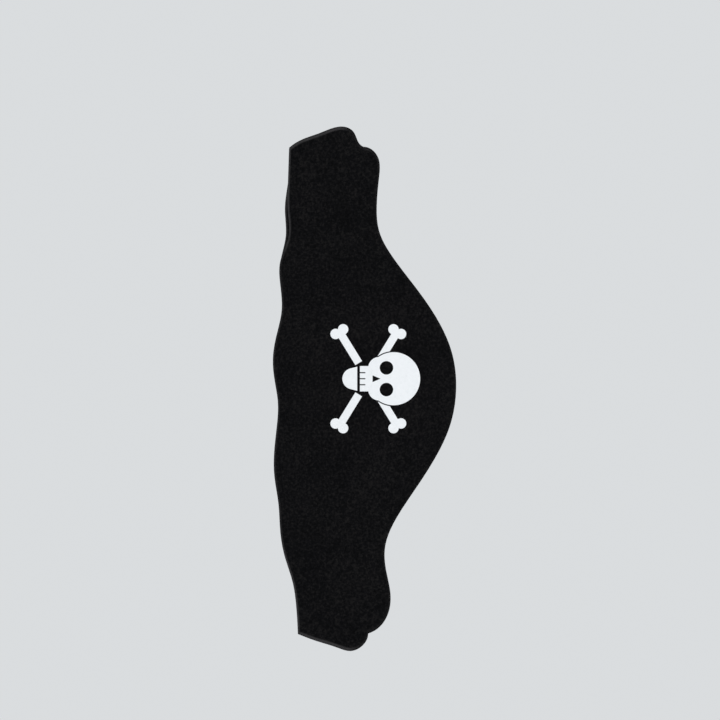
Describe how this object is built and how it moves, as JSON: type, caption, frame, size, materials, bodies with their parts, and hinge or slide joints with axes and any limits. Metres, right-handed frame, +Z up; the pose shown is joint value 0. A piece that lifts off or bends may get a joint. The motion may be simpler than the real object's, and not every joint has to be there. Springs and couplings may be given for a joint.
{
  "type": "pirate hat",
  "caption": "Flat-stored black felt pirate hat: outer panels with lobed tips, sewn two-piece crown that opens for a head, printed skull and crossbones.",
  "frame": {"origin": "middle of the head opening, level with the lowest point of the hat's lower edge", "axes": "+X along the hat towards the wearer's left tip, +Y towards the back panel, +Z up towards the peak"},
  "size_m": [0.4363, 0.0123, 0.1522],
  "materials": {
    "front_felt": "matte black needled felt",
    "back_felt": "matte black needled felt",
    "crown_felt": "matte black needled felt",
    "thread": "matte black spun thread",
    "white_ink": "matte white screen print on felt"
  },
  "bodies": {
    "seams": {"crown_seam_stitching": "thread", "left_end_stitching": "thread", "right_end_stitching": "thread"},
    "front_wall": {"front_panel": "front_felt", "crown_front": "crown_felt", "front_band_stitching": "thread", "skull_print": "white_ink", "jaw_print": "white_ink", "bone_print_lower_left": "white_ink", "bone_print_lower_right": "white_ink", "bone_print_upper_left": "white_ink", "bone_print_upper_right": "white_ink"},
    "back_wall": {"back_panel": "back_felt", "crown_back": "crown_felt", "back_band_stitching": "thread"}
  },
  "joints": [
    {"name": "front_opening", "type": "slide", "parent": "seams", "child": "front_wall", "axis": [0, -1, 0], "range_m": [0, 0.05], "stiffness_N_per_m": 2},
    {"name": "back_opening", "type": "slide", "parent": "seams", "child": "back_wall", "axis": [0, 1, 0], "range_m": [0, 0.05], "stiffness_N_per_m": 2}
  ],
  "couplings": [
    {"joint": "back_opening", "follows": "front_opening", "ratio": 1}
  ]
}
